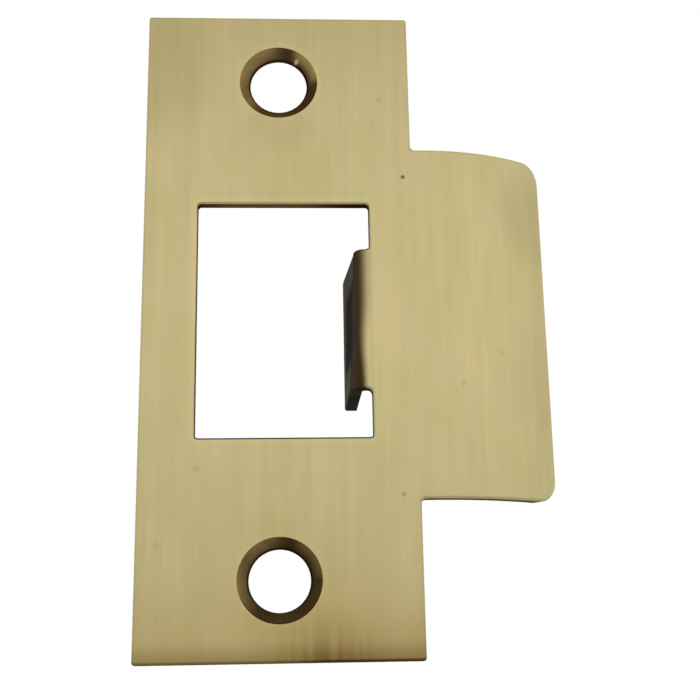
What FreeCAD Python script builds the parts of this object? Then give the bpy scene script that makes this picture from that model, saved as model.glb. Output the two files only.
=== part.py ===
"""Door strike plate: one stamped sheet with two countersunk screw holes, a latch window,
a tang bent back at the window and a lip that curves back at the side."""
import FreeCAD, Part
import math
import os

Vec = FreeCAD.Vector

# Sheet and plate, millimetres
sheet_thickness = 1.3
plate_width = 28.575
plate_height = 69.85
plate_corner_radius = 0.3

# Screw holes on the plate's centre line
screw_spacing = 53.975
screw_hole_diameter = 6.2
countersink_diameter = 8.5
countersink_angle = 90.0

# Latch window, set towards the lip
window_width = 18.2
window_height = 25.4
window_offset = 0.5
window_corner_radius = 0.35

# Lip: a short flat, then a bend that leads the latch in
lip_height = 38.1
lip_flat = 1.5
lip_front_radius = 22.0
lip_angle = 37.0
lip_corner_radius = 2.4
lip_root_radius = 0.5

# Tang on the window's lip side: a neck rounded into the window's edge, a short flat, then a bend.
# Its depth is behind the back face
tang_height = 15.2
tang_depth = 10.0
tang_angle = 89.0
tang_root_radius = 0.5
tang_neck_flat = 0.1
tang_inner_radius = 0.3
tang_corner_radius = 0.5

# Rolled edge that the punch leaves round the front
edge_roll = 0.25

# How far a cutting tool runs past the metal, and how near a face or edge must lie to be found
tool_overrun = 1.0
search_tolerance = 0.001

# The back face lies in y = 0 and the front face towards -Y
front_y = -sheet_thickness
plate_right = plate_width / 2
window_left = window_offset - window_width / 2
window_right = window_offset + window_width / 2
tang_bend_x = window_right - tang_root_radius - tang_neck_flat

# Directions in the x-y plane: the angle that points at the front, and the way through the sheet
front_angle = -90.0
through_plate = Vec(0, 1, 0)


def block(x_min, x_max, y_min, y_max, height):
    """Box between two x and two y values, centred on z = 0."""
    corner = Vec(x_min, y_min, -height / 2)
    return Part.makeBox(x_max - x_min, y_max - y_min, height, corner)


def line(start, end):
    """Straight edge between two points."""
    return Part.LineSegment(start, end).toShape()


def on_circle(centre, radius, angle):
    """Point on a circle in the x-y plane at an angle in degrees."""
    turn = math.radians(angle)
    return centre + Vec(math.cos(turn), math.sin(turn), 0) * radius


def bend(centre, radius, swept_angle):
    """Arc from the front of a circle through the swept angle: its edge, start, middle and end."""
    start = on_circle(centre, radius, front_angle)
    middle = on_circle(centre, radius, front_angle + swept_angle / 2)
    end = on_circle(centre, radius, front_angle + swept_angle)
    return Part.Arc(start, middle, end).toShape(), start, middle, end


def extrude_section(edges, height):
    """Solid swept along z from a closed section in the x-y plane, centred on z = 0."""
    section = Part.Face(Part.Wire(edges))
    section.translate(Vec(0, 0, -height / 2))
    return section.extrude(Vec(0, 0, height))


def straight_edges(solid, direction):
    """Straight edges of the solid that run parallel to the direction."""
    lines = [edge for edge in solid.Edges if isinstance(edge.Curve, Part.Line)]
    unit = Vec(direction).normalize()
    return [edge for edge in lines if edge.Curve.Direction.cross(unit).Length < search_tolerance]


def corner_edges(solid, x, height):
    """Edges through the sheet at one x, at the top and the bottom of a height centred on z = 0."""
    return [edge for edge in straight_edges(solid, through_plate)
            if abs(edge.CenterOfMass.x - x) < search_tolerance
            and abs(abs(edge.CenterOfMass.z) - height / 2) < search_tolerance]


def front_rim(solid, points):
    """Edges round the faces that hold the points, without the edges between two of those faces."""
    faces = [face for face in solid.Faces
             if any(face.distToShape(Part.Vertex(point))[0] < search_tolerance for point in points)]
    edges = [edge for face in faces for edge in face.Edges]
    return [edge for edge in edges if sum(edge.isSame(other) for other in edges) == 1]


def make_plate():
    """Flat plate with its four corners eased."""
    plate = block(-plate_right, plate_right, front_y, 0, plate_height)
    return plate.makeFillet(plate_corner_radius, straight_edges(plate, through_plate))


def make_lip():
    """Lip with its outer corners rounded, and a point on its curved front."""
    centre = Vec(plate_right + lip_flat, front_y + lip_front_radius, 0)
    front_arc, front_start, front_middle, front_end = bend(centre, lip_front_radius, lip_angle)
    back_arc, back_start, back_middle, back_end = bend(centre, lip_front_radius - sheet_thickness, lip_angle)
    root_front = Vec(plate_right, front_y, 0)
    root_back = Vec(plate_right, 0, 0)
    lip = extrude_section([
        line(root_front, front_start),
        front_arc,
        line(front_end, back_end),
        back_arc,
        line(back_start, root_back),
        line(root_back, root_front),
    ], lip_height)
    corners = straight_edges(lip, back_end - front_end)
    return lip.makeFillet(lip_corner_radius, corners), front_middle


def make_blank():
    """Plate and lip in one, with small radii where they meet and a rolled edge round the front."""
    lip, lip_front = make_lip()
    blank = make_plate().fuse(lip).removeSplitter()
    blank = blank.makeFillet(lip_root_radius, corner_edges(blank, plate_right, lip_height))
    return blank.makeFillet(edge_roll, front_rim(blank, [Vec(0, front_y, 0), lip_front]))


def make_window_tool():
    """Punch for the latch window, with room for the tang's neck and radii beside it."""
    punch_front = front_y - tool_overrun
    tool = block(window_left, window_right, punch_front, tool_overrun, window_height)
    tool = tool.makeFillet(window_corner_radius, straight_edges(tool, through_plate))
    tool = tool.cut(block(tang_bend_x, window_right, punch_front, tool_overrun, tang_height))
    return tool.makeFillet(tang_root_radius, corner_edges(tool, window_right, tang_height))


def cut_window(sheet):
    """The sheet with the latch window cut out and its front edge rolled, up to the neck's end."""
    tool = make_window_tool()
    sheet = sheet.cut(tool)
    section = tool.common(block(window_left, window_right, front_y, 0, window_height))
    neck_end = Vec(tang_bend_x, front_y, 0)
    outline = [edge for edge in front_rim(section, [Vec(window_offset, front_y, 0)])
               if not edge.CenterOfMass.isEqual(neck_end, search_tolerance)]
    rim = [edge for edge in sheet.Edges
           if any(edge.CenterOfMass.isEqual(other.CenterOfMass, search_tolerance) for other in outline)]
    return sheet.makeFillet(edge_roll, rim)


def cut_screw_hole(sheet, height):
    """The sheet with one countersunk screw hole at the given height."""
    hole_radius = screw_hole_diameter / 2
    rim_radius = countersink_diameter / 2
    cone_depth = (rim_radius - hole_radius) / math.tan(math.radians(countersink_angle / 2))
    hole_length = sheet_thickness + 2 * tool_overrun
    hole_start = Vec(0, front_y - tool_overrun, height)
    hole = Part.makeCylinder(hole_radius, hole_length, hole_start, through_plate)
    cone = Part.makeCone(rim_radius, hole_radius, cone_depth, Vec(0, front_y, height), through_plate)
    return sheet.cut(hole.fuse(cone))


def make_tang():
    """Tang that starts at its neck's end, with a bend, a straight tab and a rolled edge."""
    outer_radius = tang_inner_radius + sheet_thickness
    centre = Vec(tang_bend_x, front_y + outer_radius, 0)
    outer_arc, outer_start, outer_middle, outer_end = bend(centre, outer_radius, -tang_angle)
    inner_arc, inner_start, inner_middle, inner_end = bend(centre, tang_inner_radius, -tang_angle)
    turn = math.radians(tang_angle)
    along_tab = Vec(-math.cos(turn), math.sin(turn), 0)
    tab_length = (tang_depth - outer_end.y) / along_tab.y
    outer_tip = outer_end + along_tab * tab_length
    inner_tip = inner_end + along_tab * tab_length
    tang = extrude_section([
        outer_arc,
        line(outer_end, outer_tip),
        line(outer_tip, inner_tip),
        line(inner_tip, inner_end),
        inner_arc,
        line(inner_start, outer_start),
    ], tang_height)
    tang = tang.makeFillet(tang_corner_radius, straight_edges(tang, inner_tip - outer_tip))
    tab_middle = (outer_end + outer_tip) / 2
    rim = front_rim(tang, [outer_middle, tab_middle])
    free_rim = [edge for edge in rim if edge.BoundBox.XMin < tang_bend_x - search_tolerance]
    return tang.makeFillet(edge_roll, free_rim)


strike_plate = cut_window(make_blank())
for screw_height in (-screw_spacing / 2, screw_spacing / 2):
    strike_plate = cut_screw_hole(strike_plate, screw_height)
strike_plate = strike_plate.fuse(make_tang()).removeSplitter().Solids[0]

os.makedirs("parts", exist_ok=True)
strike_plate.exportStep("parts/strike_plate.step")
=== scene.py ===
"""Door strike plate in brushed antique brass: the dressed sheet, its studio and its camera.

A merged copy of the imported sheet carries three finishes: brushed brass on the front, turned brass in
the countersinks, and dark patina on the cut walls, the tang and the back.
"""
import logging
import math
from dataclasses import dataclass
from enum import Enum
from typing import Mapping, Sequence, Union

import bpy
from mathutils import Matrix, Vector


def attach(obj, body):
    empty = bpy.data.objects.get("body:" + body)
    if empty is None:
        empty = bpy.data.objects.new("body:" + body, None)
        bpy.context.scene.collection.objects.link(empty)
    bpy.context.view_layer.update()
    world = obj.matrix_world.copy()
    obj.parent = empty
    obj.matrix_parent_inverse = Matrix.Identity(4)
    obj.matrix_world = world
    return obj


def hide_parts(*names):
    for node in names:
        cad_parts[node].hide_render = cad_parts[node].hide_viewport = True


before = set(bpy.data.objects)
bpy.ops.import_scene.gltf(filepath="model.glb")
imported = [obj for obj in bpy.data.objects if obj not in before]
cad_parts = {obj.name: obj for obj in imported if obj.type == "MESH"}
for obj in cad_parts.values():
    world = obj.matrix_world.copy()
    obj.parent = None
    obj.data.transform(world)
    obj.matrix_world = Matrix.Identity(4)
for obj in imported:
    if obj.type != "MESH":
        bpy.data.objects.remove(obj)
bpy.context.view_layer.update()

log = logging.getLogger("strike_plate")

Output = bpy.types.NodeSocket
Feed = Union[float, Sequence[float], Output]
Colour = tuple[float, float, float, float]
Range = tuple[float, float]

MM = 0.001
CAD_NODE = "strike_plate"
BODY = "root"
WHITE: Colour = (1.0, 1.0, 1.0, 1.0)
NOISE_MIDDLE = 0.5


# Node trees

class SocketKind(Enum):
    """What a node group's socket carries."""

    VALUE = "NodeSocketFloat"
    PLACE = "NodeSocketVector"
    COLOUR = "NodeSocketColor"


@dataclass
class NodeBench:
    """Places nodes in one node tree and joins them."""

    tree: bpy.types.NodeTree

    def place(self, kind: str, **options: object) -> bpy.types.Node:
        """Adds a node and sets its options.

        Args:
            kind: Blender's name for the node's type.
            options: Properties of the node and their values.

        Returns:
            The new node.
        """
        node = self.tree.nodes.new(kind)
        for name, value in options.items():
            setattr(node, name, value)
        return node

    def feed(self, socket: bpy.types.NodeSocket, value: Feed) -> None:
        """Joins an input to an output, or sets it to a plain value.

        Args:
            socket: The input to feed.
            value: An output of another node, a number or a row of numbers.
        """
        if isinstance(value, bpy.types.NodeSocket):
            self.tree.links.new(value, socket)
        else:
            socket.default_value = value

    def math(self, operation: str, *values: Feed) -> Output:
        """Puts numbers through one Math node.

        Args:
            operation: The node's operation.
            values: Its inputs in order.

        Returns:
            The result.
        """
        node = self.place("ShaderNodeMath", operation=operation)
        for socket, value in zip(node.inputs, values):
            self.feed(socket, value)
        return node.outputs[0]

    def vector(self, operation: str, *values: Feed) -> Output:
        """Puts vectors through one Vector Math node.

        Args:
            operation: The node's operation.
            values: Its inputs in order.

        Returns:
            The resulting vector, or the number for a length.
        """
        node = self.place("ShaderNodeVectorMath", operation=operation)
        for socket, value in zip(node.inputs, values):
            self.feed(socket, value)
        return node.outputs["Value" if operation in {"LENGTH", "DISTANCE"} else "Vector"]

    def split(self, vector: Output) -> tuple[Output, Output, Output]:
        """Takes a vector apart.

        Args:
            vector: The vector.

        Returns:
            Its x, y and z.
        """
        node = self.place("ShaderNodeSeparateXYZ")
        self.feed(node.inputs[0], vector)
        return node.outputs[0], node.outputs[1], node.outputs[2]

    def join(self, x: Feed, y: Feed, z: Feed) -> Output:
        """Makes a vector.

        Args:
            x: First part.
            y: Second part.
            z: Third part.

        Returns:
            The vector.
        """
        node = self.place("ShaderNodeCombineXYZ")
        for socket, value in zip(node.inputs, (x, y, z)):
            self.feed(socket, value)
        return node.outputs[0]

    def fade(self, value: Feed, start: Feed, end: Feed) -> Output:
        """Turns a value into a soft mask.

        Args:
            value: What is measured.
            start: Where the mask is 0.
            end: Where the mask is 1.

        Returns:
            The mask.
        """
        node = self.place("ShaderNodeMapRange", interpolation_type="SMOOTHSTEP")
        for name, given in (("Value", value), ("From Min", start), ("From Max", end)):
            self.feed(node.inputs[name], given)
        return node.outputs[0]

    def spread(self, value: Feed, low: Feed, high: Feed) -> Output:
        """Turns a 0 to 1 value into one between two limits.

        Args:
            value: A value from 0 to 1.
            low: The result at 0.
            high: The result at 1.

        Returns:
            The value between the limits.
        """
        node = self.place("ShaderNodeMapRange")
        for name, given in (("Value", value), ("To Min", low), ("To Max", high)):
            self.feed(node.inputs[name], given)
        return node.outputs[0]

    def blend(self, factor: Feed, first: Feed, second: Feed) -> Output:
        """Mixes two colours.

        Args:
            factor: 0 for the first, 1 for the second.
            first: A colour.
            second: A colour.

        Returns:
            The mixed colour.
        """
        node = self.place("ShaderNodeMix", data_type="RGBA")
        for index, value in ((0, factor), (6, first), (7, second)):
            self.feed(node.inputs[index], value)
        return node.outputs[2]

    def noise(self, position: Output, stretch: Sequence[float], detail: float) -> Output:
        """Smooth noise with its own grain size along each axis.

        Args:
            position: Where it is read.
            stretch: Grains in a metre along x, y and z.
            detail: Octaves of finer noise.

        Returns:
            The noise, about 0 to 1.
        """
        node = self.place("ShaderNodeTexNoise")
        self.feed(node.inputs["Vector"], self.vector("MULTIPLY", position, stretch))
        self.feed(node.inputs["Scale"], 1.0)
        self.feed(node.inputs["Detail"], detail)
        return node.outputs["Fac"]

    def product(self, first: Feed, *others: Feed) -> Output:
        """Multiplies numbers.

        Args:
            first: A number.
            others: The other numbers.

        Returns:
            Their product.
        """
        for other in others:
            first = self.math("MULTIPLY", first, other)
        return first

    def total(self, first: Feed, *others: Feed) -> Output:
        """Adds numbers.

        Args:
            first: A number.
            others: The other numbers.

        Returns:
            Their sum.
        """
        for other in others:
            first = self.math("ADD", first, other)
        return first

    def vary(self, value: Output, share: float) -> Output:
        """Turns a 0 to 1 value into a factor round 1.

        Args:
            value: A value from 0 to 1.
            share: How far the factor goes from 1 at either end.

        Returns:
            The factor.
        """
        return self.spread(value, 1.0 - share, 1.0 + share)

    def scale(self, colour: Output, factor: Feed) -> Output:
        """Makes a colour lighter or darker.

        Args:
            colour: The colour.
            factor: What it is multiplied by.

        Returns:
            The scaled colour.
        """
        node = self.place("ShaderNodeVectorMath", operation="SCALE")
        self.feed(node.inputs[0], colour)
        self.feed(node.inputs["Scale"], factor)
        return node.outputs[0]

    def effect(self, tree: bpy.types.NodeTree, given: Mapping[str, Feed]) -> bpy.types.NodeOutputs:
        """Places a node group.

        Args:
            tree: The group's tree.
            given: Its inputs by name.

        Returns:
            Its outputs.
        """
        node = self.place("ShaderNodeGroup", node_tree=tree)
        for name, value in given.items():
            self.feed(node.inputs[name], value)
        return node.outputs


class Effect:
    """A shader node group with named inputs and outputs, built once."""

    name: str
    inputs: Mapping[str, SocketKind]
    outputs: Mapping[str, SocketKind]

    def build(self) -> bpy.types.NodeTree:
        """Builds the group.

        Returns:
            The group's tree.
        """
        tree = bpy.data.node_groups.new(self.name, "ShaderNodeTree")
        for side, sockets in (("INPUT", self.inputs), ("OUTPUT", self.outputs)):
            for name, kind in sockets.items():
                tree.interface.new_socket(name=name, in_out=side, socket_type=kind.value)
        bench = NodeBench(tree)
        given = bench.place("NodeGroupInput").outputs
        results = bench.place("NodeGroupOutput").inputs
        for name, value in self.wire(bench, given).items():
            bench.feed(results[name], value)
        return tree

    def wire(self, bench: NodeBench, given: bpy.types.NodeOutputs) -> Mapping[str, Output]:
        """Wires the group's inside.

        Args:
            bench: The bench on the group's tree.
            given: The group's inputs.

        Returns:
            What feeds each output, by name.
        """
        raise NotImplementedError


# Sizes of the sheet, as in the solid

@dataclass(frozen=True)
class SheetSizes:
    """Sizes of the stamped sheet, in metres; its back face lies in y = 0."""

    thickness: float = 1.3 * MM
    plate_width: float = 28.575 * MM
    plate_height: float = 69.85 * MM
    plate_corner_radius: float = 0.3 * MM
    screw_spacing: float = 53.975 * MM
    screw_hole_diameter: float = 6.2 * MM
    countersink_diameter: float = 8.5 * MM
    window_width: float = 18.2 * MM
    window_height: float = 25.4 * MM
    window_offset: float = 0.5 * MM
    window_corner_radius: float = 0.35 * MM
    lip_height: float = 38.1 * MM
    lip_flat: float = 1.5 * MM
    lip_front_radius: float = 22.0 * MM
    lip_angle: float = math.radians(37.0)
    lip_corner_radius: float = 2.4 * MM
    tang_height: float = 15.2 * MM
    tang_depth: float = 10.0 * MM
    tang_neck: float = 0.6 * MM
    tang_inner_radius: float = 0.3 * MM

    @property
    def front(self) -> float:
        """Place of the front face along y."""
        return -self.thickness

    @property
    def bend_start(self) -> float:
        """Place along x where the lip starts to curve."""
        return self.plate_width / 2 + self.lip_flat

    @property
    def lip_end(self) -> float:
        """Place along x of the lip's end, with the lip laid flat."""
        return self.bend_start + self.lip_front_radius * self.lip_angle

    @property
    def window_right(self) -> float:
        """Place along x of the window's edge on the lip side."""
        return self.window_offset + self.window_width / 2

    @property
    def tang_bend(self) -> float:
        """Place along x where the tang starts to bend."""
        return self.window_right - self.tang_neck

    @property
    def tang_outer_radius(self) -> float:
        """Radius of the tang's bend on the outside."""
        return self.tang_inner_radius + self.thickness


# Effects that the finishes share

@dataclass(frozen=True)
class FlatSheet(Effect):
    """Lays the curved lip flat, so that patterns run on over the bend."""

    sizes: SheetSizes
    name = "flat_sheet"
    inputs = {"Position": SocketKind.PLACE}
    outputs = {"Flat": SocketKind.PLACE}

    def wire(self, bench: NodeBench, given: bpy.types.NodeOutputs) -> Mapping[str, Output]:
        """Wires the arc length along the lip in place of x.

        Args:
            bench: The bench on the group's tree.
            given: The group's inputs.

        Returns:
            The place on the flat sheet.
        """
        x, y, z = bench.split(given["Position"])
        start = self.sizes.bend_start
        radius = self.sizes.lip_front_radius
        past = bench.math("MAXIMUM", bench.math("SUBTRACT", x, start), 0.0)
        turn = bench.math("ARCSINE", bench.math("DIVIDE", past, radius))
        along = bench.math("MULTIPLY_ADD", turn, radius, bench.math("MINIMUM", x, start))
        return {"Flat": bench.join(along, y, z)}


@dataclass(frozen=True)
class RectangleDistance(Effect):
    """Distance to a rounded rectangle's rim in the plane of the plate, below zero inside."""

    name = "rectangle_distance"
    inputs = {
        "Flat": SocketKind.PLACE,
        "Centre": SocketKind.PLACE,
        "Half size": SocketKind.PLACE,
        "Corner": SocketKind.VALUE,
    }
    outputs = {"Distance": SocketKind.VALUE}

    def wire(self, bench: NodeBench, given: bpy.types.NodeOutputs) -> Mapping[str, Output]:
        """Wires the distance outside the corner centres and the nearest side inside.

        Args:
            bench: The bench on the group's tree.
            given: The group's inputs.

        Returns:
            The distance.
        """
        offset = bench.vector("ABSOLUTE", bench.vector("SUBTRACT", given["Flat"], given["Centre"]))
        x, _, z = bench.split(bench.vector("SUBTRACT", offset, given["Half size"]))
        x = bench.math("ADD", x, given["Corner"])
        z = bench.math("ADD", z, given["Corner"])
        across = bench.math("MAXIMUM", x, 0.0)
        up = bench.math("MAXIMUM", z, 0.0)
        outside = bench.vector("LENGTH", bench.join(across, 0.0, up))
        inside = bench.math("MINIMUM", bench.math("MAXIMUM", x, z), 0.0)
        reach = bench.math("ADD", outside, inside)
        return {"Distance": bench.math("SUBTRACT", reach, given["Corner"])}


@dataclass(frozen=True)
class Brushing(Effect):
    """Fine lines that run up and down the sheet, with broader bands between them."""

    line_width: float = 0.11 * MM
    line_length: float = 9.0 * MM
    band_width: float = 0.9 * MM
    band_length: float = 24.0 * MM
    line_detail: float = 3.0
    band_detail: float = 2.0
    name = "brushing"
    inputs = {"Flat": SocketKind.PLACE}
    outputs = {"Lines": SocketKind.VALUE, "Bands": SocketKind.VALUE}

    def wire(self, bench: NodeBench, given: bpy.types.NodeOutputs) -> Mapping[str, Output]:
        """Wires the lines and the bands.

        Args:
            bench: The bench on the group's tree.
            given: The group's inputs.

        Returns:
            The lines and the bands, each from 0 to 1.
        """
        fine = 1.0 / self.line_width
        broad = 1.0 / self.band_width
        lines = bench.noise(given["Flat"], (fine, fine, 1.0 / self.line_length), self.line_detail)
        bands = bench.noise(given["Flat"], (broad, broad, 1.0 / self.band_length), self.band_detail)
        return {"Lines": lines, "Bands": bands}


@dataclass(frozen=True)
class Patina(Effect):
    """Dark oxide with cloudy patches and a fine grain, grey where thick and brown where thin."""

    dark: Colour = (0.030, 0.025, 0.021, 1.0)
    pale: Colour = (0.078, 0.063, 0.051, 1.0)
    thin_dark: Colour = (0.022, 0.012, 0.004, 1.0)
    thin_pale: Colour = (0.060, 0.036, 0.013, 1.0)
    cloud_size: float = 9.0 * MM
    cloud_detail: float = 6.0
    cloud_range: Range = (0.15, 0.85)
    grain_size: float = 0.12 * MM
    grain_detail: float = 2.0
    grain_share: float = 0.5
    roughness: Range = (0.42, 0.78)
    name = "patina"
    inputs = {"Position": SocketKind.PLACE, "Brown": SocketKind.VALUE}
    outputs = {"Colour": SocketKind.COLOUR, "Roughness": SocketKind.VALUE, "Height": SocketKind.VALUE}

    def wire(self, bench: NodeBench, given: bpy.types.NodeOutputs) -> Mapping[str, Output]:
        """Wires clouds of grey and brown, and a grain that also roughens.

        Args:
            bench: The bench on the group's tree.
            given: The group's inputs.

        Returns:
            The colour, the roughness and the height of the grain.
        """
        cloud = bench.noise(given["Position"], (1.0 / self.cloud_size,) * 3, self.cloud_detail)
        grain = bench.noise(given["Position"], (1.0 / self.grain_size,) * 3, self.grain_detail)
        uneven = bench.math("SUBTRACT", grain, NOISE_MIDDLE)
        thick = bench.math("MULTIPLY_ADD", uneven, self.grain_share, bench.fade(cloud, *self.cloud_range))
        grey = bench.blend(thick, self.dark, self.pale)
        brown = bench.blend(thick, self.thin_dark, self.thin_pale)
        return {
            "Colour": bench.blend(given["Brown"], grey, brown),
            "Roughness": bench.spread(bench.math("MULTIPLY", cloud, grain), *self.roughness),
            "Height": grain,
        }


@dataclass(frozen=True)
class Spot(Effect):
    """Mask of a small round mark."""

    core_share: float = 0.3
    name = "spot"
    inputs = {"Flat": SocketKind.PLACE, "Place": SocketKind.PLACE, "Radius": SocketKind.VALUE}
    outputs = {"Mask": SocketKind.VALUE}

    def wire(self, bench: NodeBench, given: bpy.types.NodeOutputs) -> Mapping[str, Output]:
        """Wires a disc with a soft rim.

        Args:
            bench: The bench on the group's tree.
            given: The group's inputs.

        Returns:
            The mask.
        """
        away = bench.vector("DISTANCE", given["Flat"], given["Place"])
        core = bench.math("MULTIPLY", given["Radius"], self.core_share)
        return {"Mask": bench.fade(away, given["Radius"], core)}


@dataclass(frozen=True)
class Effects:
    """The built groups."""

    flat_sheet: bpy.types.NodeTree
    rectangle_distance: bpy.types.NodeTree
    brushing: bpy.types.NodeTree
    patina: bpy.types.NodeTree
    spot: bpy.types.NodeTree

    @classmethod
    def build(cls, sizes: SheetSizes) -> "Effects":
        """Builds every group once.

        Args:
            sizes: Sizes of the sheet.

        Returns:
            The groups.
        """
        return cls(
            FlatSheet(sizes).build(),
            RectangleDistance().build(),
            Brushing().build(),
            Patina().build(),
            Spot().build(),
        )


# Finishes

@dataclass(frozen=True)
class SurfaceMark:
    """A small stain on the front, placed on the sheet laid flat."""

    x: float
    z: float
    radius: float
    strength: float


def start_material(name: str) -> tuple[bpy.types.Material, NodeBench, bpy.types.Node]:
    """Starts a metal material.

    Args:
        name: The material's name.

    Returns:
        The material, a bench on its nodes, and its Principled shader.
    """
    material = bpy.data.materials.new(name)
    material.use_nodes = True
    bench = NodeBench(material.node_tree)
    shader = material.node_tree.nodes["Principled BSDF"]
    shader.inputs["Metallic"].default_value = 1.0
    return material, bench, shader


def add_bump(bench: NodeBench, shader: bpy.types.Node, height: Output, depth: float) -> None:
    """Gives a shader a bump.

    Args:
        bench: The bench on the material's nodes.
        shader: The shader.
        height: The height from 0 to 1.
        depth: The height's size in metres.
    """
    bump = bench.place("ShaderNodeBump")
    bench.feed(bump.inputs["Distance"], depth)
    bench.feed(bump.inputs["Height"], height)
    bench.feed(shader.inputs["Normal"], bump.outputs[0])


class Face:
    """What the front's material reads at a point: its place, its normal and how near the rims are."""

    def __init__(self, bench: NodeBench, sizes: SheetSizes, effects: Effects) -> None:
        """Wires the readings.

        Args:
            bench: The bench on the material's nodes.
            sizes: Sizes of the sheet.
            effects: The built groups.
        """
        coordinate = bench.place("ShaderNodeTexCoord").outputs
        self.position = coordinate["Object"]
        self.x, _, self.z = bench.split(self.position)
        _, self.facing, self.upward = bench.split(coordinate["Normal"])
        self.flat = bench.effect(effects.flat_sheet, {"Position": self.position})["Flat"]

        def rim(centre: float, width: float, height: float, corner: float) -> Output:
            """Distance to the rim of a rectangle at the plate's middle height.

            Args:
                centre: The rectangle's middle along x.
                width: Its size along x.
                height: Its size along z.
                corner: Its corner radius.

            Returns:
                The distance.
            """
            return bench.effect(effects.rectangle_distance, {
                "Flat": self.flat,
                "Centre": (centre, 0.0, 0.0),
                "Half size": (width / 2, 0.0, height / 2),
                "Corner": corner,
            })["Distance"]

        plate = rim(0.0, sizes.plate_width, sizes.plate_height, sizes.plate_corner_radius)
        lip = rim(sizes.lip_end / 2, sizes.lip_end, sizes.lip_height, sizes.lip_corner_radius)
        self.past_outline = bench.math("MINIMUM", plate, lip)
        self.past_window = rim(
            sizes.window_offset, sizes.window_width, sizes.window_height, sizes.window_corner_radius)
        height = bench.math("SUBTRACT", bench.math("ABSOLUTE", self.z), sizes.screw_spacing / 2)
        from_axis = bench.vector("LENGTH", bench.join(self.x, 0.0, height))
        self.past_countersink = bench.math("SUBTRACT", from_axis, sizes.countersink_diameter / 2)
        self.above_foot = bench.math("ADD", self.z, sizes.plate_height / 2)
        self.below_head = bench.math("SUBTRACT", sizes.plate_height / 2, self.z)


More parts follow.
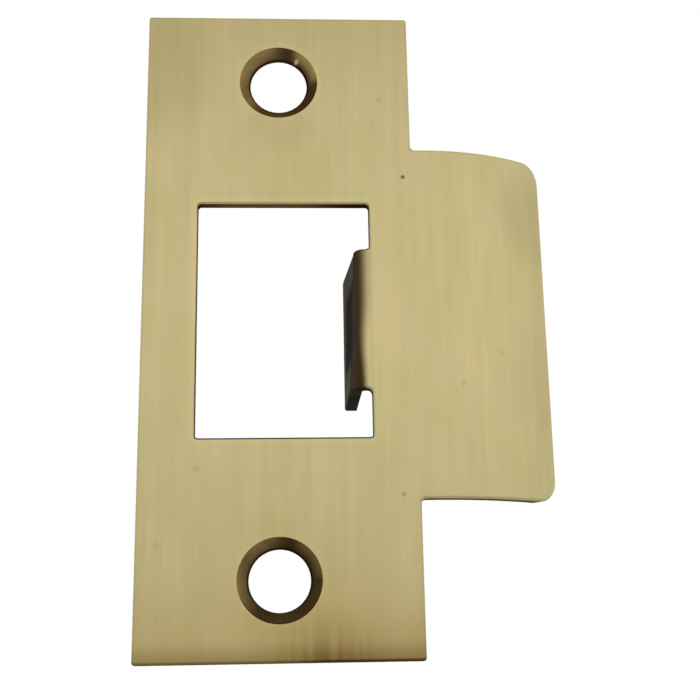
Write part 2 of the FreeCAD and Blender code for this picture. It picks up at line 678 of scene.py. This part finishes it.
@dataclass(frozen=True)
class BrushedBrass:
    """Front face: brushed brass, browned towards its foot and head (partly patina, partly painted shade),
    dark round the window with painted dark reflection on its sill, and painted shade down the tang's bend.
    """

    sizes: SheetSizes
    effects: Effects
    green: Colour = (0.562, 0.490, 0.236, 1.0)
    warm: Colour = (0.575, 0.484, 0.246, 1.0)
    honey: Colour = (0.400, 0.240, 0.035, 1.0)
    brown: Colour = (0.165, 0.078, 0.012, 1.0)
    # Dark colour of the rolled rims and the foot's edge, also used for painted dark reflection on the sill
    # and painted shade down the tang's bend.
    soot_and_shade: Colour = (0.055, 0.036, 0.012, 1.0)
    patch_width: float = 3.5 * MM
    patch_height: float = 9.0 * MM
    patch_detail: float = 3.0
    patch_range: Range = (0.36, 0.64)
    patch_tone: float = 0.08
    line_tone: float = 0.08
    band_tone: float = 0.08
    burnish_tone: float = 0.05
    burnish_reach: float = 0.9 * MM
    rim_reach: float = 0.35 * MM
    rim_share: float = 0.10
    # Fall-off towards the foot: partly patina, partly painted shade.
    foot_reach: float = 10.5 * MM
    foot_share: float = 0.27
    foot_edge_reach: float = 2.4 * MM
    foot_edge_share: float = 0.45
    foot_line: float = 0.40 * MM
    foot_line_core: float = 0.10 * MM
    foot_line_share: Range = (0.4, 0.95)
    # Fall-off towards the head: partly patina, partly painted shade.
    head_reach: float = 9.0 * MM
    head_share: float = 0.10
    sooty_from: float = 0.5 * MM
    sooty_to: float = 5.0 * MM
    smudge_middle: float = 4.2 * MM
    smudge_width: float = 8.0 * MM
    smudge_reach: float = 6.4 * MM
    smudge_share: float = 0.21
    smudge_honey: float = 0.5
    streak_range: Range = (0.38, 0.62)
    streak_tone: Range = (0.55, 1.45)
    sooty_share: float = 0.13
    # Where the painted shade down the tang's bend starts and ends, shifting with height.
    neck_light: Range = (0.0, 0.70 * MM)
    light_heights: Range = (-4.0 * MM, 3.0 * MM)
    neck_dark: Range = (0.80 * MM, 1.35 * MM)
    dark_heights: Range = (-8.0 * MM, -1.0 * MM)
    tang_reach: float = 0.3 * MM
    open_roll: Range = (-0.35, -0.05)
    kept_roll: Range = (-0.80, -0.30)
    # The sill's painted dark reflection: rolled rims near the window that face upwards.
    sill_rise: Range = (0.10, 0.50)
    sill_share: float = 0.9
    top_rise: Range = (-0.05, -0.2)
    soot_and_shade_range: Range = (0.0, 0.9)
    patina_range: Range = (0.93, 1.0)
    polish: Range = (0.33, 0.47)
    dulling: float = 0.12
    line_depth: float = 0.004 * MM
    broad_stains: tuple[SurfaceMark, ...] = (
        SurfaceMark(2.0 * MM, 17.0 * MM, 7.0 * MM, 0.08),
        SurfaceMark(0.0, -27.0 * MM, 9.0 * MM, 0.14),
        SurfaceMark(7.5 * MM, -28.0 * MM, 6.0 * MM, 0.08),
    )
    marks: tuple[SurfaceMark, ...] = (
        SurfaceMark(-15.0 * MM, 28.0 * MM, 11.0 * MM, 0.14),
        SurfaceMark(29.0 * MM, 12.0 * MM, 7.0 * MM, 0.14),
        SurfaceMark(29.0 * MM, -6.0 * MM, 8.0 * MM, 0.08),
        SurfaceMark(0.5 * MM, 22.0 * MM, 4.5 * MM, 0.10),
        SurfaceMark(13.37 * MM, 15.80 * MM, 0.34 * MM, 0.9),
        SurfaceMark(10.98 * MM, 24.96 * MM, 0.40 * MM, 0.2),
        SurfaceMark(12.48 * MM, -18.62 * MM, 0.35 * MM, 0.35),
        SurfaceMark(-8.33 * MM, -15.88 * MM, 0.50 * MM, 0.18),
        SurfaceMark(-12.24 * MM, -23.43 * MM, 0.45 * MM, 0.16),
        SurfaceMark(19.05 * MM, -7.12 * MM, 0.45 * MM, 0.16),
        SurfaceMark(23.61 * MM, -3.60 * MM, 0.45 * MM, 0.14),
    )

    def build(self) -> bpy.types.Material:
        """Builds the material.

        Returns:
            The material.
        """
        material, bench, shader = start_material("brushed_brass")
        face = Face(bench, self.sizes, self.effects)
        strokes = bench.effect(self.effects.brushing, {"Flat": face.flat})
        off_tang = bench.fade(face.past_window, -self.tang_reach, 0.0)
        patina = bench.effect(self.effects.patina, {"Position": face.position, "Brown": off_tang})
        colour = self.open_metal(bench, face, strokes)
        colour = self.stain(bench, face, strokes, colour)
        rolled, darkness = self.patina_masks(bench, face)
        # The rolled rims darken, and the sill's painted dark reflection and the painted shade down the
        # tang's bend are laid on in the same dark colour.
        colour = bench.blend(bench.fade(darkness, *self.soot_and_shade_range), colour, self.soot_and_shade)
        colour = bench.blend(bench.fade(rolled, *self.patina_range), colour, patina["Colour"])
        bench.feed(shader.inputs["Base Color"], colour)
        polish = bench.spread(strokes["Lines"], *self.polish)
        rough = bench.math("MULTIPLY_ADD", darkness, self.dulling, polish)
        bench.feed(shader.inputs["Roughness"], rough)
        add_bump(bench, shader, strokes["Lines"], self.line_depth)
        return material

    def open_metal(self, bench: NodeBench, face: Face, strokes: bpy.types.NodeOutputs) -> Output:
        """Brushed colour of the open face, a little brighter where the rims are burnished.

        Args:
            bench: The bench on the material's nodes.
            face: What the material reads.
            strokes: Outputs of the brushing.

        Returns:
            The colour.
        """
        across = 1.0 / self.patch_width
        patch = bench.noise(face.flat, (across, across, 1.0 / self.patch_height), self.patch_detail)
        brass = bench.blend(bench.fade(patch, *self.patch_range), self.green, self.warm)
        at_window = bench.fade(face.past_window, self.burnish_reach, self.rim_reach)
        at_hole = bench.fade(face.past_countersink, self.burnish_reach, 0.0)
        burnish = bench.math("MAXIMUM", at_window, at_hole)
        tone = bench.product(
            bench.vary(patch, self.patch_tone),
            bench.vary(strokes["Lines"], self.line_tone),
            bench.vary(strokes["Bands"], self.band_tone),
            bench.spread(burnish, 1.0, 1.0 + self.burnish_tone),
        )
        return bench.scale(brass, tone)

    def stain(
        self, bench: NodeBench, face: Face, strokes: bpy.types.NodeOutputs, colour: Output
    ) -> Output:
        """Browns the ends (partly patina, partly painted shade) and the rims, and adds the small marks.

        Args:
            bench: The bench on the material's nodes.
            face: What the material reads.
            strokes: Outputs of the brushing.
            colour: The colour so far.

        Returns:
            The stained colour.
        """
        lip_side = bench.fade(face.x, self.sooty_from, self.sooty_to)
        from_smudge = bench.math("ABSOLUTE", bench.math("SUBTRACT", face.x, self.smudge_middle))
        streaks = bench.spread(bench.fade(strokes["Bands"], *self.streak_range), *self.streak_tone)
        smudge = bench.product(bench.fade(face.above_foot, self.smudge_reach, self.foot_line),
                               bench.fade(from_smudge, self.smudge_width, 0.0))
        near_window = bench.product(bench.fade(face.past_window, self.rim_reach, 0.0),
                                    bench.fade(face.past_window, -self.rim_reach, 0.0))
        rims = bench.math("MAXIMUM", bench.fade(face.past_outline, -self.rim_reach, 0.0), near_window)
        smudges = bench.total(
            bench.product(smudge, streaks, self.smudge_share),
            bench.product(bench.fade(face.above_foot, self.smudge_reach, 0.0), lip_side, self.sooty_share),
        )
        # Yellowing from the smudges and broad stains, and a fall-off towards the foot and the head that is
        # partly patina and partly painted shade.
        yellowed_and_shaded = bench.total(
            bench.product(smudges, self.smudge_honey),
            bench.product(bench.fade(face.above_foot, self.foot_reach, 0.0), self.foot_share),
            bench.product(bench.fade(face.below_head, self.head_reach, 0.0), self.head_share),
            *(bench.product(self.spot(bench, face, stain), stain.strength) for stain in self.broad_stains),
        )
        colour = bench.blend(bench.math("MINIMUM", yellowed_and_shaded, 1.0), colour, self.honey)
        browned = bench.total(
            smudges,
            bench.product(bench.fade(face.above_foot, self.foot_edge_reach, 0.0), self.foot_edge_share),
            bench.product(rims, self.rim_share),
            *(bench.product(self.spot(bench, face, mark), mark.strength) for mark in self.marks),
        )
        colour = bench.blend(bench.math("MINIMUM", browned, 1.0), colour, self.brown)
        foot_line = bench.fade(face.above_foot, self.foot_line, self.foot_line_core)
        foot_line = bench.product(foot_line, bench.spread(lip_side, *self.foot_line_share))
        return bench.blend(foot_line, colour, self.soot_and_shade)

    def spot(self, bench: NodeBench, face: Face, mark: SurfaceMark) -> Output:
        """Mask of one mark.

        Args:
            bench: The bench on the material's nodes.
            face: What the material reads.
            mark: The mark.

        Returns:
            The mask.
        """
        return bench.effect(self.effects.spot, {
            "Flat": bench.vector("MULTIPLY", face.flat, (1.0, 0.0, 1.0)),
            "Place": (mark.x, 0.0, mark.z),
            "Radius": mark.radius,
        })["Mask"]

    def patina_masks(self, bench: NodeBench, face: Face) -> tuple[Output, Output]:
        """Masks of the patina and painted shade: 0 on the open face, 1 past the window's rim and the foot,
        with painted dark reflection on the sill and painted shade down the tang's bend.

        Args:
            bench: The bench on the material's nodes.
            face: What the material reads.

        Returns:
            The mask of the rolled rims, and the mask with the sill's painted dark reflection and the
            neck's painted shade added.
        """
        sizes = self.sizes
        at_window = bench.fade(face.past_window, 2.0 * self.rim_reach, self.rim_reach)
        at_foot = bench.fade(face.above_foot, 2.0 * self.rim_reach, self.rim_reach)
        below_top = bench.math("SUBTRACT", 1.0, bench.fade(face.upward, *self.top_rise))
        kept = bench.math("MAXIMUM", bench.product(at_window, below_top), at_foot)
        starts, ends = zip(self.open_roll, self.kept_roll)
        rolled = bench.fade(face.facing, bench.spread(kept, *starts), bench.spread(kept, *ends))
        # Painted dark reflection on the rolled edge along the window's sill, where it turns upwards.
        sill = bench.product(at_window, bench.fade(face.upward, *self.sill_rise), self.sill_share)
        # Painted shade down the tang's bend: from a lit edge near the window to a dark edge on the bend,
        # both shifting with height.
        half = sizes.tang_height / 2 + self.rim_reach
        light_reaches = (sizes.window_right + reach for reach in self.neck_light)
        dark_reaches = (sizes.tang_bend - reach for reach in self.neck_dark)
        light = bench.spread(bench.fade(face.z, *self.light_heights), *light_reaches)
        dark = bench.spread(bench.fade(face.z, *self.dark_heights), *dark_reaches)
        along = bench.fade(face.x, light, dark)
        beside = bench.fade(bench.math("ABSOLUTE", face.z), half + self.rim_reach, half)
        neck = bench.product(along, beside, bench.math("GREATER_THAN", face.x, sizes.window_offset))
        return rolled, bench.math("MAXIMUM", bench.math("MAXIMUM", rolled, sill), neck)


@dataclass(frozen=True)
class TurnedBrass:
    """Countersinks: brown brass with the cutter's rings, with painted light and shade round the cone, a
    painted highlight streak, a painted glint, and painted shade at the hole's edge and the rim's lower
    side.
    """

    sizes: SheetSizes
    effects: Effects
    # Colours of the painted light and shade round the cone, of its painted highlight streak, of the
    # painted shade at its edges and of the painted glint.
    lit: Colour = (0.350, 0.240, 0.090, 1.0)
    deep: Colour = (0.040, 0.023, 0.009, 1.0)
    bare: Colour = (0.430, 0.320, 0.120, 1.0)
    black: Colour = (0.012, 0.007, 0.005, 1.0)
    inner_line: float = 0.30 * MM
    inner_core: float = 0.09 * MM
    inner_rise: Range = (-0.9, -0.4)
    inner_share: float = 0.85
    outer_line: float = 0.22 * MM
    outer_rise: Range = (-0.2, -0.6)
    outer_share: float = 0.6
    lower_light: float = 0.72
    glint: Colour = (0.620, 0.530, 0.330, 1.0)
    glint_x: float = 1.98 * MM
    glint_rise: float = 2.88 * MM
    glint_radius: float = 0.34 * MM
    grazing: Colour = (0.40, 0.39, 0.37, 1.0)
    ring_width: float = 0.09 * MM
    ring_detail: float = 2.0
    ring_depth: float = 0.006 * MM
    cloud_size: float = 1.6 * MM
    cloud_detail: float = 3.0
    cloud_tone: float = 0.5
    lit_angle: float = math.radians(158.0)
    lit_range: Range = (0.15, 0.85)
    lit_share: Range = (0.15, 1.0)
    outward_share: Range = (0.6, 1.1)
    highlight_angle: float = math.radians(34.0)
    highlight_range: Range = (0.80, 0.97)
    lower_highlight: float = 0.35
    wall_range: Range = (-0.30 * MM, -0.14 * MM)
    polish: Range = (0.34, 0.56)

    def build(self) -> bpy.types.Material:
        """Builds the material.

        Returns:
            The material.
        """
        material, bench, shader = start_material("turned_brass")
        shader.inputs["Specular Tint"].default_value = self.grazing
        position = bench.place("ShaderNodeTexCoord").outputs["Object"]
        x, depth, z = bench.split(position)
        upper = bench.math("GREATER_THAN", z, 0.0)
        middle = bench.spread(upper, -self.sizes.screw_spacing / 2, self.sizes.screw_spacing / 2)
        height = bench.math("SUBTRACT", z, middle)
        from_axis = bench.vector("LENGTH", bench.join(x, 0.0, height))

        def towards(angle: float) -> Output:
            """Cosine of the turn between a point round the hole and an angle.

            Args:
                angle: The angle, from the lip's side upwards.

            Returns:
                The cosine.
            """
            across = bench.product(x, math.cos(angle))
            up = bench.product(height, math.sin(angle))
            return bench.math("DIVIDE", bench.total(across, up), from_axis)

        hole = self.sizes.screw_hole_diameter / 2
        rim = self.sizes.countersink_diameter / 2
        outward = bench.fade(from_axis, hole, rim)
        cloud = bench.noise(position, (1.0 / self.cloud_size,) * 3, self.cloud_detail)
        rings = bench.noise(
            bench.join(0.0, depth, 0.0), (1.0, 1.0 / self.ring_width, 1.0), self.ring_detail)
        # Painted light and shade: lighter towards one side, outwards and on the upper hole, darker
        # elsewhere.
        side = bench.spread(bench.fade(towards(self.lit_angle), *self.lit_range), *self.lit_share)
        light = bench.product(
            side,
            bench.spread(outward, *self.outward_share),
            bench.vary(cloud, self.cloud_tone),
            bench.spread(upper, self.lower_light, 1.0),
        )
        colour = bench.blend(bench.math("MINIMUM", light, 1.0), self.deep, self.lit)
        # Painted highlight: a light streak in one sector of the cone, weaker on the lower hole.
        streak = bench.product(
            bench.fade(towards(self.highlight_angle), *self.highlight_range),
            outward,
            bench.spread(upper, self.lower_highlight, 1.0),
        )
        colour = bench.blend(streak, colour, self.bare)
        # Painted shade along the hole's inner edge, all round but its bottom, and painted shadow along the
        # rim's lower side.
        rise = towards(math.pi / 2)
        inner = bench.product(
            bench.fade(from_axis, hole + self.inner_line, hole + self.inner_core),
            bench.fade(rise, *self.inner_rise),
            self.inner_share,
        )
        outer = bench.product(
            bench.fade(from_axis, rim - self.outer_line, rim),
            bench.fade(rise, *self.outer_rise),
            self.outer_share,
        )
        colour = bench.blend(bench.math("MAXIMUM", inner, outer), colour, self.black)
        glint = bench.effect(self.effects.spot, {
            "Flat": bench.join(x, 0.0, z),
            "Place": (self.glint_x, 0.0, self.sizes.screw_spacing / 2 + self.glint_rise),
            "Radius": self.glint_radius,
        })["Mask"]
        colour = bench.blend(glint, colour, self.glint)
        patina = bench.effect(self.effects.patina, {"Position": position, "Brown": 1.0})
        wall = bench.fade(depth, *self.wall_range)
        colour = bench.blend(wall, colour, patina["Colour"])
        bench.feed(shader.inputs["Base Color"], colour)
        bench.feed(shader.inputs["Roughness"], bench.spread(rings, *self.polish))
        add_bump(bench, shader, rings, self.ring_depth)
        return material


@dataclass(frozen=True)
class DarkStrip:
    """A painted dark reflection along the tang: how deep it lies, half its width and the heights of its
    ends.
    """

    depth: float
    half_width: float
    low: float
    high: float


@dataclass(frozen=True)
class DarkPatina:
    """Cut walls, tang and back: the dark finish that the brushing leaves, worn on walls that face down,
    with painted dark reflections in strips down the tang's outer face.
    """

    sizes: SheetSizes
    effects: Effects
    # Dark colour of the fractured ends of the tang and of the painted dark reflections in strips down its
    # outer face.
    soot_and_shade: Colour = (0.009, 0.007, 0.006, 1.0)
    soot_and_shade_share: float = 0.55
    soot_and_shade_gloss: float = 0.0
    worn: Colour = (0.170, 0.125, 0.050, 1.0)
    worn_x: float = -1.2 * MM
    worn_reach: float = 8.8 * MM
    worn_share: float = 0.85
    under_facing: Range = (-0.5, -0.9)
    grazing: Colour = (0.42, 0.40, 0.38, 1.0)
    behind_reach: float = 0.25 * MM
    bend_reach: Range = (-0.5 * MM, 0.0)
    wall_facing: Range = (0.7, 0.4)
    band_tone: float = 0.35
    grain_depth: float = 0.008 * MM
    end_facing: Range = (0.5, 0.9)
    end_share: float = 0.75
    outer_facing: Range = (-0.4, -0.7)
    uneven_range: Range = (0.30, 0.50)
    uneven_share: Range = (0.7, 1.0)
    strip_end: float = 1.0 * MM
    strip_core: float = 0.7
    strip_share: float = 0.95
    # Painted dark reflections down the tang's outer face.
    strips: tuple[DarkStrip, ...] = (
        DarkStrip(3.0 * MM, 5.0 * MM, -4.6 * MM, 4.4 * MM),
        DarkStrip(9.8 * MM, 0.6 * MM, -6.4 * MM, 6.4 * MM),
    )

    def build(self) -> bpy.types.Material:
        """Builds the material.

        Returns:
            The material.
        """
        material, bench, shader = start_material("dark_patina")
        shader.inputs["Specular Tint"].default_value = self.grazing
        shader.inputs["Specular IOR Level"].default_value = self.soot_and_shade_gloss
        coordinate = bench.place("ShaderNodeTexCoord").outputs
        position = coordinate["Object"]
        x, depth, z = bench.split(position)
        sideways, facing, upward = bench.split(coordinate["Normal"])
        behind = bench.fade(depth, 0.0, self.behind_reach)
        tang = bench.product(
            bench.fade(x, self.sizes.window_right, self.sizes.tang_bend),
            bench.math("GREATER_THAN", x, self.sizes.window_offset),
        )
        lip = bench.math("GREATER_THAN", x, self.sizes.bend_start)
        outer = bench.product(tang, bench.fade(sideways, *self.outer_facing))
        wall = bench.product(
            bench.math("MAXIMUM", bench.math("SUBTRACT", 1.0, behind), lip),
            bench.fade(facing, *self.wall_facing),
            bench.math("SUBTRACT", 1.0, outer),
        )
        patina = bench.effect(self.effects.patina, {"Position": position, "Brown": wall})
        strokes = bench.effect(self.effects.brushing, {"Flat": position})
        colour = bench.scale(patina["Colour"], bench.vary(strokes["Bands"], self.band_tone))
        rubbed = bench.math("MAXIMUM", self.window_wear(bench, x, z), lip)
        worn = bench.product(rubbed, bench.fade(upward, *self.under_facing), self.worn_share)
        colour = bench.blend(worn, colour, self.worn)
        at_end = bench.fade(bench.math("ABSOLUTE", upward), *self.end_facing)
        ends = bench.product(at_end, behind, tang, self.end_share)
        uneven = bench.spread(bench.fade(strokes["Bands"], *self.uneven_range), *self.uneven_share)
        # Painted dark reflections in strips down the tang's outer face; there and at the tang's dark ends
        # the sheet is made less metallic.
        strips = bench.product(self.strip_mask(bench, depth, z), outer, uneven, self.strip_share)
        sooty_and_shaded = bench.math("MAXIMUM", ends, strips)
        colour = bench.blend(bench.product(sooty_and_shaded, self.soot_and_shade_share), colour, self.soot_and_shade)
        bench.feed(shader.inputs["Base Color"], colour)
        bench.feed(shader.inputs["Metallic"], bench.math("SUBTRACT", 1.0, sooty_and_shaded))
        bench.feed(shader.inputs["Roughness"], patina["Roughness"])
        add_bump(bench, shader, patina["Height"], self.grain_depth)
        return material

    def window_wear(self, bench: NodeBench, x: Output, z: Output) -> Output:
        """Mask round the middle of the window's upper edge.

        Args:
            bench: The bench on the material's nodes.
            x: Place towards the lip.
            z: Height.

        Returns:
            The mask.
        """
        return bench.effect(self.effects.spot, {
            "Flat": bench.join(x, 0.0, z),
            "Place": (self.worn_x, 0.0, self.sizes.window_height / 2),
            "Radius": self.worn_reach,
        })["Mask"]

    def strip_mask(self, bench: NodeBench, depth: Output, z: Output) -> Output:
        """Mask of the painted dark reflections, from the tang's bend to its tip.

        Args:
            bench: The bench on the material's nodes.
            depth: Place behind the back face.
            z: Height.

        Returns:
            The mask.
        """
        dark = 0.0
        for strip in self.strips:
            away = bench.math("ABSOLUTE", bench.math("SUBTRACT", depth, strip.depth))
            mask = bench.product(
                bench.fade(away, strip.half_width, self.strip_core * strip.half_width),
                bench.fade(z, strip.low - self.strip_end, strip.low + self.strip_end),
                bench.fade(z, strip.high + self.strip_end, strip.high - self.strip_end),
            )
            dark = bench.math("MAXIMUM", dark, mask)
        return bench.product(dark, bench.fade(depth, *self.bend_reach))


# The piece

class Zone(Enum):
    """Which finish a face takes: the value is its place among the material slots."""

    FRONT = 0
    COUNTERSINK = 1
    UNBRUSHED = 2


@dataclass
class StrikePlate:
    """The stamped sheet with its finishes."""

    sizes: SheetSizes
    name: str = "brass_sheet"
    merge_distance: float = 0.0005 * MM
    smooth_angle: float = math.radians(32.0)
    flat_weight: int = 100
    rim_facing: float = 0.95
    front_facing: float = 0.02
    bend_facing: float = 0.7
    high_turn: float = 0.55 * MM
    low_turn: float = -0.10 * MM
    tang_rows: tuple[float, ...] = (-0.6, -0.2, 0.2, 0.6)

    def build(self) -> bpy.types.Object:
        """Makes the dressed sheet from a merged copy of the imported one.

        Returns:
            The piece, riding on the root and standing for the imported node.
        """
        piece = self.copy_sheet()
        self.twist_tang(piece)
        self.smooth(piece)
        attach(piece, BODY)
        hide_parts(CAD_NODE)
        return piece

    def copy_sheet(self) -> bpy.types.Object:
        """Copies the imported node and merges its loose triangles.

        Returns:
            The copy.
        """
        bpy.ops.object.select_all(action="DESELECT")
        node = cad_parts[CAD_NODE]
        node.select_set(True)
        bpy.context.view_layer.objects.active = node
        bpy.ops.object.duplicate()
        piece = bpy.context.view_layer.objects.active
        piece.name = self.name
        piece.data.name = self.name
        for key in list(piece.keys()):
            del piece[key]
        bpy.ops.mesh.customdata_custom_splitnormals_clear()
        bpy.ops.object.mode_set(mode="EDIT")
        bpy.ops.mesh.select_all(action="SELECT")
        bpy.ops.mesh.remove_doubles(threshold=self.merge_distance)
        bpy.ops.object.mode_set(mode="OBJECT")
        return piece

    def twist_tang(self, piece: bpy.types.Object) -> None:
        """Turns the tang a little, as its bend came out of the press: the upper end leans more.

        Args:
            piece: The copied sheet, active and selected.
        """
        sizes = self.sizes
        half = sizes.tang_height / 2
        bpy.ops.object.mode_set(mode="EDIT")
        for share in self.tang_rows:
            bpy.ops.mesh.select_all(action="DESELECT")
            bpy.ops.object.mode_set(mode="OBJECT")
            for face in piece.data.polygons:
                face.select = all(self.on_tang(piece.data.vertices[i].co) for i in face.vertices)
            bpy.ops.object.mode_set(mode="EDIT")
            bpy.ops.mesh.bisect(plane_co=(0.0, 0.0, share * half), plane_no=(0.0, 0.0, 1.0))
        bpy.ops.object.mode_set(mode="OBJECT")
        centre_y = sizes.front + sizes.tang_outer_radius
        for vertex in piece.data.vertices:
            place = vertex.co
            if self.on_tang(place):
                turned = math.atan2(max(sizes.tang_bend - place.x, 0.0), centre_y - place.y)
                bent = min(turned / (math.pi / 2), 1.0)
                left = 1.0 - max(place.y - centre_y, 0.0) / (sizes.tang_depth - centre_y)
                rise = (place.z / half + 1.0) / 2.0
                place.x += bent * left * (self.low_turn + (self.high_turn - self.low_turn) * rise)

    def on_tang(self, place: Vector) -> bool:
        """Tells whether a point lies on the tang past its neck.

        Args:
            place: The point.

        Returns:
            True on the tang.
        """
        sizes = self.sizes
        inside = sizes.window_offset < place.x < sizes.tang_bend + self.merge_distance
        return inside and abs(place.z) < sizes.tang_height / 2 + self.merge_distance

    def smooth(self, piece: bpy.types.Object) -> None:
        """Rounds the shading of the bends and keeps the flats flat.

        Args:
            piece: The copied sheet, active and selected.
        """
        bpy.ops.object.shade_smooth_by_angle(angle=self.smooth_angle)
        weights = piece.modifiers.new("flat_faces", "WEIGHTED_NORMAL")
        weights.keep_sharp = True
        weights.weight = self.flat_weight
        bpy.ops.object.modifier_apply(modifier=weights.name)

    def dress(self, piece: bpy.types.Object, finishes: Mapping[Zone, bpy.types.Material]) -> None:
        """Gives each face its finish.

        Args:
            piece: The sheet.
            finishes: The material of each zone.
        """
        mesh = piece.data
        mesh.materials.clear()
        for zone in Zone:
            mesh.materials.append(finishes[zone])
        for face in mesh.polygons:
            face.material_index = self.zone_of(face.center, face.normal).value

    def zone_of(self, centre: Vector, normal: Vector) -> Zone:
        """Finds a face's zone from its place and its normal.

        Args:
            centre: The face's middle.
            normal: The way it faces.

        Returns:
            The zone.
        """
        sizes = self.sizes
        past_bend = centre.y > sizes.tang_inner_radius or normal.y > -self.bend_facing
        if self.on_tang(centre) and past_bend:
            return Zone.UNBRUSHED
        from_axis = math.hypot(centre.x, abs(centre.z) - sizes.screw_spacing / 2)
        if from_axis < sizes.countersink_diameter / 2 and abs(normal.y) < self.rim_facing:
            return Zone.COUNTERSINK
        return Zone.FRONT if normal.y < -self.front_facing else Zone.UNBRUSHED


# Studio and camera

@dataclass(frozen=True)
class SoftBox:
    """A soft rectangular lamp turned to the plate."""

    name: str
    place: tuple[float, float, float]
    width: float
    height: float
    power: float

    def build(self) -> bpy.types.Object:
        """Adds the lamp.

        Returns:
            The lamp.
        """
        light = bpy.data.lights.new(self.name, "AREA")
        light.shape = "RECTANGLE"
        light.size = self.width
        light.size_y = self.height
        light.energy = self.power
        lamp = bpy.data.objects.new(self.name, light)
        bpy.context.scene.collection.objects.link(lamp)
        lamp.location = self.place
        lamp.rotation_euler = (-Vector(self.place)).to_track_quat("-Z", "Y").to_euler()
        lamp.visible_camera = False
        return lamp


@dataclass(frozen=True)
class Studio:
    """Pale floor, white surroundings and soft lamps."""

    floor_level: float = -0.062
    floor_size: float = 2.4
    floor_colour: Colour = (0.82, 0.82, 0.81, 1.0)
    floor_roughness: float = 0.9
    dim_front: float = 0.50
    band_foot: Range = (-0.10, 0.26)
    band_head: Range = (0.85, 0.32)
    behind: Range = (-0.35, 0.05)
    ambient: float = 0.75
    lamps: tuple[SoftBox, ...] = (
        SoftBox("key_box", (0.35, -0.92, 0.31), 2.2, 0.24, 0.85),
        SoftBox("top_box", (0.15, 0.25, 0.95), 0.9, 0.9, 2.0),
    )

    def build(self) -> None:
        """Builds the floor, the world and the lamps."""
        self.lay_floor()
        self.light_world()
        for lamp in self.lamps:
            lamp.build()
        bpy.context.scene.view_settings.view_transform = "Standard"

    def lay_floor(self) -> None:
        """Lays the floor below the plate."""
        bpy.ops.object.select_all(action="DESELECT")
        bpy.ops.mesh.primitive_plane_add(size=self.floor_size, location=(0.0, 0.0, self.floor_level))
        floor = bpy.context.view_layer.objects.active
        floor.name = "floor"
        material = bpy.data.materials.new("floor_paper")
        material.use_nodes = True
        shader = material.node_tree.nodes["Principled BSDF"]
        shader.inputs["Base Color"].default_value = self.floor_colour
        shader.inputs["Roughness"].default_value = self.floor_roughness
        floor.data.materials.append(material)

    def light_world(self) -> None:
        """Surrounds the plate with white; on the camera's side it is a bright band above the floor."""
        world = bpy.data.worlds.new("studio")
        world.use_nodes = True
        bpy.context.scene.world = world
        bench = NodeBench(world.node_tree)
        background = world.node_tree.nodes["Background"]
        direction = bench.place("ShaderNodeTexCoord").outputs["Generated"]
        _, away, rise = bench.split(direction)
        band = bench.product(bench.fade(rise, *self.band_foot), bench.fade(rise, *self.band_head))
        front = bench.spread(band, self.dim_front, 1.0)
        back = bench.fade(away, *self.behind)
        level = bench.math("MAXIMUM", front, back)
        path = bench.place("ShaderNodeLightPath").outputs
        seen = bench.math("ADD", path["Is Camera Ray"], path["Is Glossy Ray"])
        seen = bench.math("MINIMUM", bench.math("ADD", seen, path["Is Transmission Ray"]), 1.0)
        share = bench.spread(seen, self.ambient, 1.0)
        background.inputs["Color"].default_value = WHITE
        bench.feed(background.inputs["Strength"], bench.math("MULTIPLY", level, share))


@dataclass(frozen=True)
class PhotoCamera:
    """The photograph's viewpoint, fitted to the plate's edges; angles in degrees."""

    place: tuple[float, float, float] = (0.62 * MM, -123.65 * MM, -37.24 * MM)
    pitch: float = 15.369
    heading: float = 3.137
    roll: float = -1.050
    focal_pixels: float = 1226.3
    image_pixels: float = 700.0
    sensor: float = 36.0
    nearest: float = 5.0 * MM

    def build(self) -> bpy.types.Object:
        """Adds the camera and makes it the scene's.

        Returns:
            The camera.
        """
        data = bpy.data.cameras.new("photo_camera")
        data.sensor_width = self.sensor
        data.lens = self.sensor * self.focal_pixels / self.image_pixels
        data.clip_start = self.nearest
        camera = bpy.data.objects.new("photo_camera", data)
        bpy.context.scene.collection.objects.link(camera)
        turn = Matrix.Rotation(math.radians(-self.heading), 4, "Z")
        tilt = Matrix.Rotation(math.radians(90.0 + self.pitch), 4, "X")
        roll = Matrix.Rotation(math.radians(self.roll), 4, "Z")
        camera.matrix_world = Matrix.Translation(self.place) @ turn @ tilt @ roll
        bpy.context.scene.camera = camera
        return camera


def main() -> None:
    """Builds the plate, its finishes, the studio and the camera in order."""
    logging.basicConfig(level=logging.INFO, format="%(name)s: %(message)s")
    sizes = SheetSizes()
    effects = Effects.build(sizes)
    plate = StrikePlate(sizes)
    piece = plate.build()
    plate.dress(piece, {
        Zone.FRONT: BrushedBrass(sizes, effects).build(),
        Zone.COUNTERSINK: TurnedBrass(sizes, effects).build(),
        Zone.UNBRUSHED: DarkPatina(sizes, effects).build(),
    })
    log.info("%s: %d faces", piece.name, len(piece.data.polygons))
    Studio().build()
    PhotoCamera().build()


if __name__ == "__main__":
    main()
